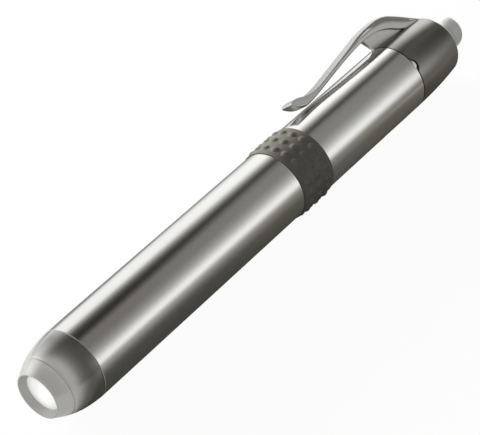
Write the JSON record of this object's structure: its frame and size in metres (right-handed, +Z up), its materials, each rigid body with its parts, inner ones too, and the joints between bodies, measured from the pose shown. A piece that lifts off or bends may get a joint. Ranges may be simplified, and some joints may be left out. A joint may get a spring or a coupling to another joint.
{
  "type": "penlight",
  "caption": "Slim pocket torch with a polished round body, egg-shaped nose with a recessed lens, studded rubber grip ring, arched pocket clip on a dark tail cap and a domed push button.",
  "frame": {"origin": "middle of the pen's length and width, at the height of the table under the two lowest bumps of the grip ring", "axes": "X along the pen with its mouth at -X and its button at +X, Z up, and the clip leaning 45 degrees from up towards +Y, away from the side seen in the picture"},
  "size_m": [0.1326, 0.018, 0.0181],
  "materials": {
    "nose_metal": "satin polished",
    "barrel_metal": "mirror polished",
    "cap_metal": "dark plated, polished",
    "clip_metal": "fine satin",
    "bright_metal": "bright plated",
    "key_metal": "pale satin",
    "grip_rubber": "matte",
    "button_plastic": "frosted, slightly see-through",
    "lens_clear": "clear",
    "reflector_mirror": "mirror",
    "lamp_dome": "clear dome, lit",
    "board_laminate": "matte",
    "contact_brass": "turned",
    "spring_steel": "drawn wire",
    "seal_rubber": "matte",
    "cell_sleeve": "printed foil sleeve in plain colour",
    "switch_plastic": "matte",
    "retainer_metal": "turned",
    "rod_plastic": "matte"
  },
  "bodies": {
    "tail": {"rear_barrel": "barrel_metal", "grip_ring": "grip_rubber", "battery_front": "cell_sleeve", "battery_rear": "cell_sleeve", "locating_key": "key_metal", "cap_seal": "seal_rubber", "tail_cap": "cap_metal", "clip_arch": "clip_metal", "battery_spring": "spring_steel", "switch_base": "contact_brass", "switch_housing": "switch_plastic", "switch_retainer": "retainer_metal", "switch_spring": "spring_steel", "button_collar": "bright_metal"},
    "screw_carrier": {"joint_seal": "seal_rubber"},
    "front": {"nose": "nose_metal", "lens": "lens_clear", "lens_seal": "seal_rubber", "reflector": "reflector_mirror", "led": "lamp_dome", "led_board": "board_laminate", "led_holder": "contact_brass", "front_contact": "contact_brass", "front_spring": "spring_steel", "front_barrel": "barrel_metal"},
    "clip": {"clip_strip": "clip_metal"},
    "button": {"push_button": "button_plastic", "switch_plunger": "rod_plastic", "contact_disc": "contact_brass"}
  },
  "joints": [
    {"name": "front_slide", "type": "slide", "parent": "tail", "child": "screw_carrier", "axis": [-1, 0, 0], "range_m": [0, 0.006]},
    {"name": "front_turn", "type": "hinge", "parent": "screw_carrier", "child": "front", "pos_m": [-0.02727, -0.00105, 0.00798], "axis": [-1, 0, 0], "range_deg": [0, 1440]},
    {"name": "clip_flex", "type": "hinge", "parent": "tail", "child": "clip", "pos_m": [0.04205, 0.00747, 0.01649], "axis": [0, 0.7071, -0.7071], "range_deg": [0, 4.5], "stiffness_Nm_per_rad": 1},
    {"name": "button_press", "type": "slide", "parent": "tail", "child": "button", "axis": [-1, 0, 0], "range_m": [0, 0.0015], "stiffness_N_per_m": 2000, "springref_m": -0.001, "deforming": ["switch_spring"]}
  ],
  "couplings": [
    {"joint": "front_turn", "follows": "front_slide", "rad_per_m": 4188.8}
  ]
}
